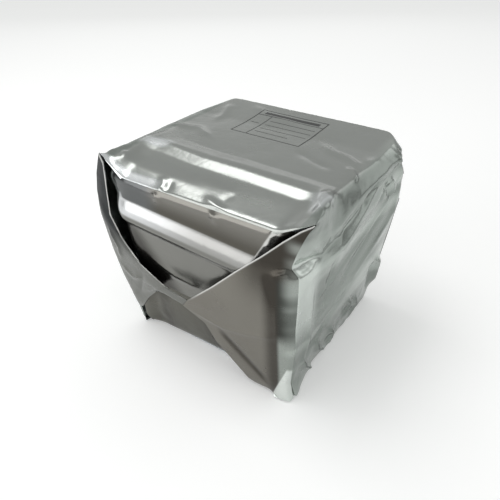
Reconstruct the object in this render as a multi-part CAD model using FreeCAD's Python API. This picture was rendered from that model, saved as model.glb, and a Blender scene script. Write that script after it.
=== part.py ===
import FreeCAD, Part

"""A wafer shipping box for 25 wafers of 200 mm, closed in a metallised barrier bag.

Millimetres. +Z is up, X runs along the row of wafer slots, and the bag's folded mouth faces -Y.
The origin is the middle of the footprint, on the surface that the bag rests on.

The box is moulded polypropylene: a drafted base, a cover whose skirt laps the base rim over a
ring seal, a slotted cassette that stands in the base, a spring comb under the cover that holds
the wafers down, and a latch on each end. The bag is one laminate tube with its rear end shut. Its
mouth is heat sealed, folded down the front and under the box, and its corners are folded over
the front and the rear as ears.
"""

import math
import os

V = FreeCAD.Vector

# Wafer slots
wafer_radius = 100.0
slot_count = 25
slot_pitch = 6.35
wafer_rise = 18.0         # from the underside of the bag to the lowest point of a wafer

# Bag film, as it lies against the box
film = 0.5
film_gap = 0.3            # between the film and what it lies on

# Base
base_wall = 2.4
base_floor = 2.6
base_foot = (21.8, -2.0)      # foot of the base, beyond the cassette's end and the wafers' edge
base_mouth = (31.8, 15.5)     # the same under the rim
base_corner = 20.0
corner_flats = 6          # flats in each rounded corner
foot_inset = 5.0
foot_width = 9.0
foot_height = 2.0
rim_rise = 62.0           # from the middle of the wafers to the rim, where the box parts
rim_height = 4.0
rim_out = 3.0             # how far the rim stands out of the base wall

# Ring seal between base rim and cover
seal_width = 3.0
seal_depth = 1.4          # how far it sits in its groove
seal_proud = 1.0
seal_inset = 1.1          # from the outer edge of the rim
seal_side_gap = 0.15
seal_seat_gap = 0.2

# Cover
cover_wall = 2.4
skirt_gap = 0.5           # between skirt and rim
skirt_drop = 12.0         # how far the skirt laps below the rim top
skirt_rise = 2.6          # how far it runs above the rim top
flare_height = 11.0       # from the skirt up to the cover wall
flare_in = (2.0, 5.0)     # how far the flare draws in the ends and the sides
cover_draft = 0.8
cover_headroom = 26.4      # from the top of the wafers to the top of the cover
ridge_half = 51.0         # half width of the flat top
shoulder_drop = 15.0
ridge_radius = 60.0
edge_radius = 6.0
edge_flats = 3
roof_margin = 10.0        # how far the roof form runs past the cover before it is trimmed

# Cassette
cassette_wall = 3.0
root_gap = 1.8            # from a wafer's edge to the bottom of its slot
tooth_length = 12.0
tooth_root = 4.4          # tooth width at the wall
tooth_tip = 1.6           # and at its inner edge
wrap_angle = 48.0         # how far the walls follow the wafer below its centre
wrap_flats = 4
cassette_rise = 90.0      # from the middle of the wafers to the top of the cassette
tooth_top_drop = 5.0
cassette_end_space = 9.0  # from the last wafer to the end wall
cassette_end_wall = 4.0
rail_flange = 5.5
rail_thickness = 2.6
crossbar_height = 14.0
end_leg = 16.0            # width of the end walls beside their windows
window_sill_drop = 44.0   # from the middle of the wafers to the sill of the plain end
window_inset = 20.0       # how much narrower the plain end's window is

# Cassette seats in the base
seat_gap = 0.3
seat_rib = 2.4
seat_rib_height = 9.0
seat_rib_half = 62.0
end_rib_y = 44.0
end_rib_rise = 32.0       # from the middle of the wafers to the top of the end ribs
end_rib_slope = 14.0

# Spring comb under the cover
comb_rail_y = 40.0
comb_rail = (9.0, 2.4)    # width and thickness
comb_leaf = (3.0, 1.3)    # width and thickness
comb_touch_y = 24.0       # where a leaf presses on a wafer
comb_touch_gap = 0.3
comb_pad = (14.0, 3.5)    # length and height of the pads under the cover
comb_pad_x = 66.0
comb_tip_rise = 4.0

# Latches
latch_half = 24.0         # half width of the latch plate
latch_plate = 2.8
latch_pivot_drop = 48.0   # below the rim
barrel_radius = 4.0
barrel_flats = 16
barrel_wall_gap = 1.2
trunnion_radius = 2.4
trunnion_gap = 0.08
lug_thickness = 5.0
lug_gap = 0.4
lug_rim = 2.2             # plastic round the trunnion hole
catch_out = 1.4           # wedge catch on the skirt
catch_low = 2.5           # above the skirt's lower edge
catch_height = 6.0
catch_half = 20.0
nib_gap = 0.4
nib_height = 4.0
latch_lip = (4.0, 9.0)    # how far the finger lip stands out, and its height

# Bag. Its sides: height, then how far they stand out from the skirt beside the front ridge and
# at the rear, and how far the rear stands out
bag_side = (
    (0.0, -9.9, -11.9, -6.4),
    (168.0, 12.6, 12.6, 1.6),
    (245.0, 11.4, 11.4, 1.6),
)
# Each edge of the folded mouth: height, how far out from the skirt's end, and from its front
mouth_right = (
    (0.0, 4.1, -11.4), (26.0, -2.4, -9.2), (72.0, 2.1, -6.6), (112.0, 2.6, -4.2),
    (168.0, 4.6, -0.4), (197.0, -0.4, 1.1), (222.0, 6.1, 0.6),
)
mouth_left = (
    (0.0, -8.9, -13.4), (26.0, -3.9, -11.9), (72.0, 15.1, -10.2), (112.0, 26.1, -7.9),
    (168.0, 30.1, -2.6), (197.0, 28.1, -1.4), (222.0, 23.1, -1.9),
)
# The long folds that run down each end from the rear towards the mouth: y, and their heights
fold_rows = (
    (-85.0, (0.0, 22.0, 88.0, 128.0, 178.0, 190.0, 206.0)),
    (-51.0, (0.0, 20.0, 108.0, 140.0, 184.0, 198.0, 216.0)),
    (6.0, (0.0, 22.0, 124.0, 154.0, 199.0, 213.0, 228.0)),
    (64.0, (0.0, 26.0, 133.0, 165.0, 207.0, 221.0, 233.0)),
)
fold_rear = (0.0, 30.0, 150.0, 178.0, 216.0, 228.0, 236.0)
fold_out = (0.0, 1.5, 3.0, -3.6, 3.6, -2.6, 1.6)  # how far each fold stands out between its ends
peak_right = (20.1, 0.1, 6.4)     # beyond the skirt's end and front, and over the cover
peak_left = (14.1, -2.4, 5.6)
bag_top_gap = 0.7         # over the flat of the cover
bag_top_half = (128.0, 144.0)     # right and left, where the film stands out
bag_mouth_top = (0.1, 13.8)       # the mouth's upper edge, from the skirt's front and the top
bag_rear_top = (5.6, 5.6)         # the rear upper edge, beyond the skirt and over the cover
bag_rear_corner = (2.0, 16.0)     # how far it falls short of the sides, right and left
bag_flat_half = 104.0     # where the mouth's upper edge starts to rise to its peaks
bag_mouth_floor_y = -59.4

# Folded mouth
fold_gap = 0.6            # between folds that lie side by side
v_point = (-8.0, 12.6, 102.0)     # where the front ears meet, its y from the skirt's front
v_foot = (-16.0, 90.5)            # x and z of the foot of their meeting
ear_layers = 0.8
ear_edge_gap = 0.4        # from the ear's fold to the edge of the mouth
ear_foot_z = (1.5, 13.0)  # right and left
# Edges of the ears from the peak to the meeting point, and from there to the heel
right_ear_crease = ((136.0, 240.0), (91.0, 199.0))
right_ear_edge = ((14.0, 75.0), (27.0, 51.0), (49.0, 29.0), (69.0, 8.0), (105.0, 4.0))
left_ear_crease = ((132.0, 238.0), (134.0, 171.0), (119.0, 143.0), (89.0, 117.0), (57.0, 106.0))
left_ear_edge = ((42.0, 90.0), (67.0, 83.0), (90.0, 58.0), (108.0, 35.0))
panel_ends = (-114.0, 99.0)
panel_corner_drop = 46.0  # from the panel's upper corners to where it starts to narrow
panel_neck = 12.0         # half width where it ends behind the ears
panel_lap = 13.0          # how far the front panel runs below the meeting point of the ears
ear_fold_z = 168.0        # the ears lie on a plane through their folds at the foot and here
ear_peak_drop = 8.0       # from a peak of the bag down to the tip of its ear
ear_peak_in = 4.0
meeting_gap = 0.4         # half the gap between the ears where they meet
tail_left = (58.0, (-60.0, 84.0)) # height of the flap's upright left end, and its shoulder
tail_right_z = 8.0        # height of its right end
tail_inset = 11.0         # how much narrower the flap is than the foot of the bag
tail_top_z = 96.0
tail_lap = 0.4            # between the tail and the front panel
seal_strip = (14.0, 100.0)        # width and half length of the heat seal
rear_ear = ((118.5, 24.0), (138.0, 166.0), (50.0, 95.0))


def grown(half_sizes, amount):
    """Half length and half width, both larger by amount."""
    return tuple(size + amount for size in half_sizes)


def rectangle(half_sizes):
    """Corner points of a rectangle about the origin, anticlockwise."""
    x, y = half_sizes
    return [(-x, -y), (x, -y), (x, y), (-x, y)]


def round_corner(last, corner, following, radius, steps):
    """Points along a round that touches both sides of a corner, in flats."""
    corner = V(*corner)
    to_last = (V(*last) - corner).normalize()
    to_next = (V(*following) - corner).normalize()
    half = to_last.getAngle(to_next) / 2
    reach = radius / math.tan(half)
    centre = corner + (to_last + to_next).normalize() * (radius / math.sin(half))
    start = corner + to_last * reach - centre
    end = corner + to_next * reach - centre
    sweep = start.getAngle(end)
    points = []
    for i in range(steps + 1):
        share = i / steps
        along = start * math.sin((1 - share) * sweep) + end * math.sin(share * sweep)
        points.append(tuple(centre + along * (1 / math.sin(sweep))))
    return points


def rounded(points, radii, steps):
    """The corner points of a closed outline, each corner with its own radius, 0 for sharp."""
    found = []
    for i, corner in enumerate(points):
        if radii[i]:
            following = points[(i + 1) % len(points)]
            found += round_corner(points[i - 1], corner, following, radii[i], steps)
        else:
            found.append(tuple(corner))
    return found


def face_of(points):
    """A plane face through corner points in order."""
    corners = [V(*p) for p in points]
    return Part.Face(Part.makePolygon(corners + corners[:1]))


def skin(rings):
    """The solid between closed outlines with the same number of corners, one above another."""
    faces = [face_of(rings[0][::-1]), face_of(rings[-1])]
    for low, high in zip(rings, rings[1:]):
        for i in range(len(low)):
            j = (i + 1) % len(low)
            faces.append(face_of([low[i], low[j], high[j], high[i]]))
    solid = Part.Solid(Part.Shell(faces))
    if solid.Volume < 0:
        solid.reverse()
    return solid


def tower(levels, radius):
    """A solid with straight sides between rounded rectangles, given as (z, half sizes)."""
    return skin([rounded([(x, y, z) for x, y in rectangle(half)], [radius] * 4, corner_flats)
                 for z, half in levels])


def ring(half_sizes, radius, width, low, high):
    """An upright band that follows a rounded rectangle, its outer side given."""
    outer = tower([(low, half_sizes), (high, half_sizes)], radius)
    inner = grown(half_sizes, -width)
    return outer.cut(tower([(low - 1, inner), (high + 1, inner)], radius - width))


def prism_x(profile, half_length, middle=0.0):
    """A (y, z) polygon extruded along X, centred on middle."""
    points = [(middle - half_length, y, z) for y, z in profile]
    return face_of(points).extrude(V(2 * half_length, 0, 0))


def prism_y(profile, low, high):
    """An (x, z) polygon extruded along Y from low to high."""
    points = [(x, low, z) for x, z in profile]
    return face_of(points).extrude(V(0, high - low, 0))


def block(low, high):
    """A box between two corners."""
    size = [b - a for a, b in zip(low, high)]
    return Part.makeBox(*size, V(*low))


def fuse(first, *rest):
    """One clean solid out of several that touch."""
    return first.multiFuse(list(rest)).removeSplitter()


def reflected(shape, normal):
    """The shape reflected in the plane through the origin with that normal."""
    return shape.mirror(V(0, 0, 0), V(*normal))


# Heights and sizes that several pieces share
wafer_centre_z = wafer_rise + wafer_radius
cover_top_z = wafer_centre_z + wafer_radius + cover_headroom
cassette_top_z = wafer_centre_z + cassette_rise
rim_z = wafer_centre_z + rim_rise
latch_pivot_z = rim_z - latch_pivot_drop
foot_z = film + film_gap
body_z = foot_z + foot_height
floor_top_z = body_z + base_floor
skirt_z = rim_z - skirt_drop
ledge_z = rim_z + seal_proud + seal_seat_gap
flare_z = rim_z + skirt_rise
wall_z = flare_z + flare_height
slot_radius = wafer_radius + root_gap
cassette_half = (slot_count - 1) / 2 * slot_pitch + cassette_end_space + cassette_end_wall
base_bottom = (cassette_half + base_foot[0], wafer_radius + base_foot[1])
base_top = (cassette_half + base_mouth[0], wafer_radius + base_mouth[1])
rim_half = grown(base_top, rim_out)
skirt_half = grown(rim_half, skirt_gap + cover_wall)
wall_half = (skirt_half[0] - flare_in[0], skirt_half[1] - flare_in[1])
foot_rail_y = (slot_radius + cassette_wall / 2) * math.cos(math.radians(wrap_angle))
foot_rail_z = floor_top_z + seat_gap
tail_half = skirt_half[0] + bag_side[0][2] - tail_inset
trim_reach = 2 * skirt_half[1]        # far enough forward to trim a sheet right through


def base_half(z):
    """Half length and half width of the base's outer wall at height z."""
    share = (z - body_z) / (rim_z - body_z)
    return tuple(a + (b - a) * share for a, b in zip(base_bottom, base_top))


latch_pivot_x = base_half(latch_pivot_z)[0] + barrel_wall_gap + barrel_radius


def base_shell():
    outer = tower([(body_z, base_bottom), (rim_z, base_top)], base_corner)
    rim = tower([(rim_z - rim_height, rim_half), (rim_z, rim_half)], base_corner + rim_out)
    foot = ring(grown(base_bottom, -foot_inset), base_corner - foot_inset, foot_width,
                foot_z, body_z + base_floor / 2)
    cavity_low = grown(base_half(floor_top_z), -base_wall)
    cavity_high = grown(base_half(rim_z + 1), -base_wall)
    cavity = tower([(floor_top_z, cavity_low), (rim_z + 1, cavity_high)],
                   base_corner - base_wall)
    groove_half = grown(rim_half, -seal_inset + seal_side_gap)
    groove = ring(groove_half, base_corner + rim_out - seal_inset + seal_side_gap,
                  seal_width + 2 * seal_side_gap, rim_z - seal_depth, rim_z + 1)
    body = fuse(outer, rim, foot).cut(cavity).cut(groove)
    return fuse(body, *seat_ribs(), *end_ribs(), *hinge_lugs())


def seat_ribs():
    """Pairs of ribs on the floor that the cassette's foot rails drop between."""
    ribs = []
    for side in (-1, 1):
        for edge in (-1, 1):
            y = side * foot_rail_y + edge * (cassette_wall / 2 + seat_gap + seat_rib / 2)
            ribs.append(block((-seat_rib_half, y - seat_rib / 2, floor_top_z - 1),
                              (seat_rib_half, y + seat_rib / 2, floor_top_z + seat_rib_height)))
    return ribs


def end_ribs():
    """Upright ribs on the end walls that centre the cassette along the row."""
    near = cassette_half + seat_gap
    top = wafer_centre_z + end_rib_rise
    profile = [(near, floor_top_z - 1), (base_half(floor_top_z)[0] - 1, floor_top_z - 1),
               (base_half(top)[0] - 1, top), (near, top - end_rib_slope)]
    rib = prism_y(profile, end_rib_y - seat_rib / 2, end_rib_y + seat_rib / 2)
    pair = [rib, reflected(rib, (0, 1, 0))]
    return pair + [reflected(r, (1, 0, 0)) for r in pair]


def hinge_lugs():
    """Lugs on the end walls that carry the latches' trunnions."""
    z = latch_pivot_z
    radius = trunnion_radius + trunnion_gap + lug_rim
    low = latch_half + lug_gap
    profile = [(base_half(z + 10)[0] - 1, z + 10), (latch_pivot_x, z + radius),
               (latch_pivot_x, z - radius), (base_half(z - 10)[0] - 1, z - 10)]
    lug = prism_y(profile, low, low + lug_thickness)
    eye = Part.makeCylinder(radius, lug_thickness, V(latch_pivot_x, low, z), V(0, 1, 0))
    hole = Part.makeCylinder(trunnion_radius + trunnion_gap, lug_thickness + 2,
                             V(latch_pivot_x, low - 1, z), V(0, 1, 0))
    lug = lug.fuse(eye).cut(hole)
    pair = [lug, reflected(lug, (0, 1, 0))]
    return pair + [reflected(p, (1, 0, 0)) for p in pair]


def rim_gasket():
    half = grown(rim_half, -seal_inset)
    return ring(half, base_corner + rim_out - seal_inset, seal_width,
                rim_z - seal_depth, rim_z + seal_proud)


def cover_body(inset, low_levels, radius):
    """The cover's form above its skirt, inset for the inside: a drafted tower under a roof."""
    top = grown(wall_half, -inset)
    top_z = cover_top_z - inset
    tip_z = cover_top_z + roof_margin
    levels = low_levels + [(wall_z, top), (tip_z, grown(top, -cover_draft))]
    edge = edge_radius - inset
    slope = shoulder_drop / (wall_half[1] - ridge_half)
    side = top[1] - cover_draft / 2
    end = top[0] - cover_draft / 2
    eave_z = top_z - slope * (side - ridge_half)
    low = low_levels[0][0] - 1
    wide = skirt_half[1] + roof_margin
    long = skirt_half[0] + roof_margin
    points = [(0, -wide, low), (0, wide, low), (0, wide, eave_z - roof_margin),
              (0, side, eave_z - roof_margin), (0, side, eave_z), (0, ridge_half, top_z),
              (0, -ridge_half, top_z), (0, -side, eave_z), (0, -side, eave_z - roof_margin),
              (0, -wide, eave_z - roof_margin)]
    radii = [0, 0, 0, 0, edge, ridge_radius, ridge_radius, edge, 0, 0]
    roof = prism_x([(y, z) for _, y, z in rounded(points, radii, edge_flats)], long)
    points = [(-long, 0, low), (long, 0, low), (long, 0, top_z - roof_margin),
              (end, 0, top_z - roof_margin), (end, 0, top_z), (-end, 0, top_z),
              (-end, 0, top_z - roof_margin), (-long, 0, top_z - roof_margin)]
    outline = rounded(points, [0, 0, 0, 0, edge, edge, 0, 0], edge_flats)
    ends = prism_y([(x, z) for x, _, z in outline], -wide, wide)
    return tower(levels, radius).common(roof).common(ends)


def cover_shell():
    radius = base_corner + rim_out + skirt_gap + cover_wall
    outer = cover_body(0.0, [(skirt_z, skirt_half), (flare_z, skirt_half)], radius)
    inside = cover_body(cover_wall, [(ledge_z, grown(base_top, -base_wall))],
                        radius - cover_wall)
    lap_half = grown(rim_half, skirt_gap)
    lap = tower([(skirt_z - 1, lap_half), (ledge_z, lap_half)], radius - cover_wall)
    shell = outer.cut(inside).cut(lap)
    return fuse(shell, *catches())


def catches():
    """Wedge ribs on the skirt ends that the latch nibs snap over."""
    face = skirt_half[0]
    low = skirt_z + catch_low
    profile = [(face - 1, low), (face + catch_out, low), (face, low + catch_height),
               (face - 1, low + catch_height)]
    wedge = prism_y(profile, -catch_half, catch_half)
    return [wedge, reflected(wedge, (1, 0, 0))]


def wrapped(radius, first=0):
    """Points (y, z) that follow the wafers from the height of their centre down one side."""
    turns = [math.radians(wrap_angle) * i / wrap_flats for i in range(first, wrap_flats + 1)]
    return [(radius * math.cos(t), wafer_centre_z - radius * math.sin(t)) for t in turns]


def tooth():
    """One tooth between two wafers, on the +Y wall, at x = 0."""
    root = slot_radius + cassette_wall / 2
    tip = slot_radius - tooth_length
    top_z = cassette_top_z - tooth_top_drop
    rings = []
    for (root_y, root_z), (tip_y, tip_z) in zip([(root, top_z)] + wrapped(root),
                                                [(tip, top_z)] + wrapped(tip)):
        rings.append([(-tooth_root / 2, root_y, root_z), (tooth_root / 2, root_y, root_z),
                      (tooth_tip / 2, tip_y, tip_z), (-tooth_tip / 2, tip_y, tip_z)])
    return skin(rings)


def cassette_side():
    """The +Y side: wall, teeth, top rail and foot rail."""
    outer_y = slot_radius + cassette_wall
    section = [(outer_y, cassette_top_z)] + wrapped(outer_y) + wrapped(slot_radius)[::-1]
    wall = prism_x(section + [(slot_radius, cassette_top_z)], cassette_half)
    rail = block((-cassette_half, outer_y - 1, cassette_top_z - rail_thickness),
                 (cassette_half, outer_y + rail_flange, cassette_top_z))
    foot_top = wafer_centre_z - slot_radius * math.sin(math.radians(wrap_angle))
    foot = block((-cassette_half, foot_rail_y - cassette_wall / 2, foot_rail_z),
                 (cassette_half, foot_rail_y + cassette_wall / 2, foot_top))
    one = tooth()
    first = -slot_count / 2 * slot_pitch
    teeth = []
    for i in range(slot_count + 1):
        copy = one.copy()
        copy.translate(V(first + i * slot_pitch, 0, 0))
        teeth.append(copy)
    return fuse(wall, rail, foot, *teeth)


def cassette_end():
    """The end frame at -X before its windows are cut."""
    outer = slot_radius + cassette_wall
    side = [(outer, cassette_top_z)] + wrapped(outer)
    outline = side + [(-y, z) for y, z in side[::-1]]
    return prism_x(outline, cassette_end_wall / 2, cassette_end_wall / 2 - cassette_half)


def cassette():
    side = cassette_side()
    open_half = slot_radius + cassette_wall - end_leg
    low_half = foot_rail_y - end_leg / 2
    low_z = wafer_centre_z - (slot_radius + cassette_wall)
    high_z = cassette_top_z + 1
    bar = crossbar_height / 2
    far = cassette_half + 1
    end = cassette_end()
    plain_half = open_half - window_inset
    sill_z = wafer_centre_z - window_sill_drop
    plain_end = end.cut(block((-far, -plain_half, sill_z), (far, plain_half, high_z)))
    h_end = reflected(end, (1, 0, 0))
    h_end = h_end.cut(block((-far, -open_half, wafer_centre_z + bar), (far, open_half, high_z)))
    h_end = h_end.cut(block((-far, -low_half, low_z), (far, low_half, wafer_centre_z - bar)))
    return fuse(side, reflected(side, (0, 1, 0)), plain_end, h_end)


def wafer_cushion():
    """A ladder frame under the cover, with a sprung leaf each side of every wafer."""
    width, thick = comb_rail
    top_z = cover_top_z - cover_wall - seat_gap - comb_pad[1]
    half = cassette_half - cassette_end_wall
    rail = block((-half, comb_rail_y - width / 2, top_z - thick),
                 (half, comb_rail_y + width / 2, top_z))
    rungs = []
    for x in (-half, -width / 2, half - width):
        rungs.append(block((x, -comb_rail_y, top_z - thick), (x + width, comb_rail_y, top_z)))
    pads = []
    for x in (-comb_pad_x, comb_pad_x):
        pads.append(block((x - comb_pad[0] / 2, comb_rail_y - width / 2, top_z - thick),
                          (x + comb_pad[0] / 2, comb_rail_y + width / 2, top_z + comb_pad[1])))
    reach = wafer_radius + comb_touch_gap
    touch_z = wafer_centre_z + math.sqrt(reach ** 2 - comb_touch_y ** 2)
    leaf_width, leaf_thick = comb_leaf
    knee_y = (comb_rail_y + comb_touch_y) / 2
    knee_z = touch_z + 0.42 * (top_z - touch_z)
    lift = leaf_thick * 1.1
    side = leaf_thick * 0.9
    tip_y = comb_touch_y - comb_tip_rise
    profile = [(comb_rail_y + side, top_z - thick / 2), (knee_y + side, knee_z),
               (comb_touch_y + side / 2, touch_z), (tip_y, touch_z + comb_tip_rise),
               (tip_y, touch_z + comb_tip_rise + lift), (comb_touch_y, touch_z + lift),
               (knee_y - side, knee_z + lift), (comb_rail_y - side, top_z - thick / 2)]
    leaves = []
    for i in range(slot_count):
        x = (i - (slot_count - 1) / 2) * slot_pitch
        leaves.append(prism_x(profile, leaf_width / 2, x))
    half_comb = fuse(rail, *pads, *leaves)
    return fuse(half_comb, reflected(half_comb, (0, 1, 0)), *rungs)


def latch():
    """The latch at +X: barrel with trunnions, plate, wedge nib and finger lip."""
    face = skirt_half[0]
    inner = face + catch_out + nib_gap
    outer = inner + latch_plate
    low = skirt_z + catch_low
    high = low + catch_height
    top = high + nib_height + 3 + latch_lip[1]
    z = latch_pivot_z
    x = latch_pivot_x
    profile = [(x, z + barrel_radius - 0.1), (inner, z + barrel_radius + 6), (inner, low),
               (face + nib_gap, high), (face + nib_gap, high + nib_height),
               (inner, high + nib_height + 3), (inner, top - latch_lip[0]),
               (outer + latch_lip[0] - 2, top), (outer + latch_lip[0], top - 2),
               (outer, top - latch_lip[0] - 3.5), (outer, z + 3), (x, z - barrel_radius + 0.1)]
    plate = prism_y(profile, -latch_half, latch_half)
    turns = [2 * math.pi * (i + 0.5) / barrel_flats for i in range(barrel_flats)]
    outline = [(x + barrel_radius * math.cos(t), z + barrel_radius * math.sin(t)) for t in turns]
    barrel = prism_y(outline, -latch_half, latch_half)
    reach = latch_half + lug_gap + lug_thickness
    pin = Part.makeCylinder(trunnion_radius, 2 * reach, V(x, -reach, z), V(0, 1, 0))
    return fuse(plate, barrel, pin)


def bent_sheet(points, thickness, half_length):
    """A sheet of one thickness along X: points are its outer side, the thickness lies to its left."""
    inner = []
    for i, (y, z) in enumerate(points):
        normals = []
        for a, b in ((i - 1, i), (i, i + 1)):
            if 0 <= a and b < len(points):
                dy = points[b][0] - points[a][0]
                dz = points[b][1] - points[a][1]
                length = math.hypot(dy, dz)
                normals.append((-dz / length, dy / length))
        ny = sum(n[0] for n in normals) / len(normals)
        nz = sum(n[1] for n in normals) / len(normals)
        scale = thickness / (ny * ny + nz * nz)
        inner.append((y + ny * scale, z + nz * scale))
    return prism_x(points + inner[::-1], half_length)


def film_solid(triangles, thickness):
    """A closed solid from a sheet of triangles with outward corners: the film lies inside them."""
    def key(point):
        return tuple(round(c, 4) for c in point)

    normals = {}
    edge_use = {}
    for tri in triangles:
        a, b, c = (V(*p) for p in tri)
        normal = (b - a).cross(c - a)
        area = normal.Length
        normal.normalize()
        for i, p in enumerate(tri):
            normals.setdefault(key(p), []).append((normal, area))
            edge = (key(p), key(tri[(i + 1) % 3]))
            edge_use[edge] = edge_use.get(edge, 0) + 1
    inner = {}
    for point, found in normals.items():
        mean = V(0, 0, 0)
        for normal, area in found:
            mean += normal * area
        mean.normalize()
        share = sum(mean.dot(n) * a for n, a in found) / sum(a for n, a in found)
        inner[point] = tuple(c - m * thickness / share for c, m in zip(point, mean))

    faces = []
    for tri in triangles:
        a, b, c = (key(p) for p in tri)
        faces.append(face_of([a, b, c]))
        faces.append(face_of([inner[a], inner[c], inner[b]]))
    for (a, b) in edge_use:
        if (b, a) not in edge_use:
            faces.append(face_of([a, inner[a], inner[b]]))
            faces.append(face_of([a, inner[b], b]))
    solid = Part.Solid(Part.Shell(faces))
    if solid.Volume < 0:
        solid.reverse()
    return solid.removeSplitter()


def between(rows, z):
    """The row of values at height z, straight between the rows of a table."""
    for low, high in zip(rows, rows[1:]):
        if z <= high[0]:
            share = (z - low[0]) / (high[0] - low[0])
            return [a + (b - a) * share for a, b in zip(low, high)]
    return list(rows[-1])


def mouth_edge(mouth):
    """One edge of the folded mouth, drawn at +X, from the floor up."""
    return [(skirt_half[0] + out, -(skirt_half[1] + ahead), z) for z, out, ahead in mouth]


def bag_sections(mouth, peak, top_half, rear_corner):
    """One side of the tube, drawn at +X: at its mouth, along its end folds and at its rear."""
    top_z = cover_top_z + bag_top_gap + film
    shoulder_z = cover_top_z - bag_mouth_top[1]
    rear_top_z = cover_top_z + bag_rear_top[1]
    mouth_y = -(skirt_half[1] + bag_mouth_top[0])
    rear_y = skirt_half[1] + bag_rear_top[0]
    edge = mouth_edge(mouth)

    def section(floor_y, side, shoulder, flat_y, flat_z):
        half = bag_flat_half
        return ([(0, floor_y, 0), (tail_half + fold_gap, floor_y, 0)] + side
                + [shoulder, (half, flat_y, flat_z), (0, flat_y, flat_z)])

    tip = (skirt_half[0] + peak[0], -(skirt_half[1] + peak[1]), cover_top_z + peak[2])
    sections = [section(bag_mouth_floor_y, edge, tip, mouth_y, shoulder_z)]
    for y, heights in fold_rows:
        share = min(1.0, (y - mouth_y) / (-ridge_half - mouth_y))
        along = max(0.0, (y + ridge_half) / (skirt_half[1] + ridge_half))
        side = []
        for (edge_x, _, _), z, out in zip(edge, heights, fold_out):
            _, front, rear, _ = between(bag_side, z)
            x = skirt_half[0] + front + (rear - front) * along + out
            side.append((edge_x + (x - edge_x) * share, y, z))
        half = tip[0] + (top_half - tip[0]) * share
        level = shoulder_z + (top_z - shoulder_z) * share
        corner_z = tip[2] + (top_z - tip[2]) * share
        floor_y = max(y, bag_mouth_floor_y + 1)
        sections.append(section(floor_y, side, (half, y, corner_z), y, level))
    side = []
    for z in fold_rear:
        _, _, rear, back = between(bag_side, z)
        side.append((skirt_half[0] + rear, skirt_half[1] + back, z))
    sections.append(section(side[0][1], side, (top_half - rear_corner, rear_y, rear_top_z),
                            rear_y, rear_top_z))
    return sections


def mirror_triangle(tri):
    return tuple((-x, y, z) for x, y, z in reversed(tri))


def split_quad(a, b, c, d):
    """Two triangles across the shorter diagonal."""
    if (V(*a) - V(*c)).Length <= (V(*b) - V(*d)).Length:
        return [(a, b, c), (a, c, d)]
    return [(a, b, d), (b, c, d)]


def bag_tube():
    """Top, ends, floor and back of the bag, open towards the folded mouth."""
    triangles = []
    for mouth, peak, hand in ((mouth_right, peak_right, 0), (mouth_left, peak_left, 1)):
        sections = bag_sections(mouth, peak, bag_top_half[hand], bag_rear_corner[hand])
        half = []
        for near, far in zip(sections, sections[1:]):
            for i in range(len(near) - 1):
                half += split_quad(near[i], far[i], far[i + 1], near[i + 1])
        floor, floor_side, *column, shoulder, flat, top = sections[-1]
        middle = [(0, y, z) for _, y, z in column]
        half += [(floor_side, floor, middle[1]), (floor_side, middle[1], column[1]),
                 (column[0], floor_side, column[1])]
        for i in range(1, len(column) - 1):
            half += split_quad(column[i], middle[i], middle[i + 1], column[i + 1])
        half += split_quad(column[-1], middle[-1], top, flat)
        half.append((shoulder, column[-1], flat))
        triangles += [mirror_triangle(t) for t in half] if hand else half
    return film_solid(triangles, film)


def front_film_y(z):
    """How far forward the film lies on the base's front wall at height z."""
    return -(base_half(z)[1] + film_gap + film)


def bag_front_panel():
    """Film drawn in over the cover's front, its skirt and the base, down behind the ears."""
    out = film_gap + film
    low = v_point[2] - panel_lap
    top_y = fold_gap - (skirt_half[1] + bag_mouth_top[0])
    top_z = cover_top_z - bag_mouth_top[1] - film - fold_gap
    profile = [(top_y, top_z), (-(wall_half[1] + out + fold_gap), top_z - 7),
               (-(wall_half[1] + out), wall_z + 1), (-(skirt_half[1] + out), flare_z),
               (-(skirt_half[1] + out), skirt_z - 1), (front_film_y(skirt_z - 8), skirt_z - 8),
               (front_film_y(low), low)]
    left, right = panel_ends
    sheet = bent_sheet(profile, film, max(-left, right))
    high = top_z + 2
    neck = v_point[0]
    shape = [(left, high), (left, high - panel_corner_drop), (neck - panel_neck, low - 1),
             (neck + panel_neck, low - 1), (right, high - panel_corner_drop), (right, high)]
    return sheet.common(prism_y(shape, -trim_reach, 0))


def bag_tail_panel():
    """The seal's flap, folded down over the base's front and tucked under the box."""
    out = film + fold_gap
    foot_y = front_film_y(body_z) - film_gap - film
    profile = [(front_film_y(tail_top_z) - out, tail_top_z), (foot_y, body_z),
               (foot_y + 1.5, 0), (bag_mouth_floor_y - seal_strip[0] - 2 * fold_gap, 0)]
    sheet = bent_sheet(profile, film, tail_half)
    neck = v_point[0]
    left_z, shoulder = tail_left
    shape = [(neck - panel_neck, tail_top_z + 1), shoulder, (-tail_half, left_z),
             (-tail_half, -1), (tail_half, -1), (tail_half, tail_right_z),
             (neck + panel_neck, tail_top_z + 1)]
    return sheet.common(prism_y(shape, -trim_reach, 0))


def bag_seal_strip():
    """The flat heat seal along the end of the flap."""
    width, half = seal_strip
    far = bag_mouth_floor_y - fold_gap
    return block((-half, far - width, 0), (half, far, film))


def ear_plate(outline, point, corner_low, corner_high):
    """A flat folded ear on the plane through three points, its outline given as (x, z)."""
    normal = (V(*corner_high) - V(*corner_low)).cross(V(*point) - V(*corner_low)).normalize()
    if normal.y > 0:
        normal = -normal
    points = []
    for x, z in outline:
        away = normal.x * (x - point[0]) + normal.z * (z - point[2])
        points.append((x, point[1] - away / normal.y, z))
    return face_of(points).extrude(normal * ear_layers)


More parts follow.
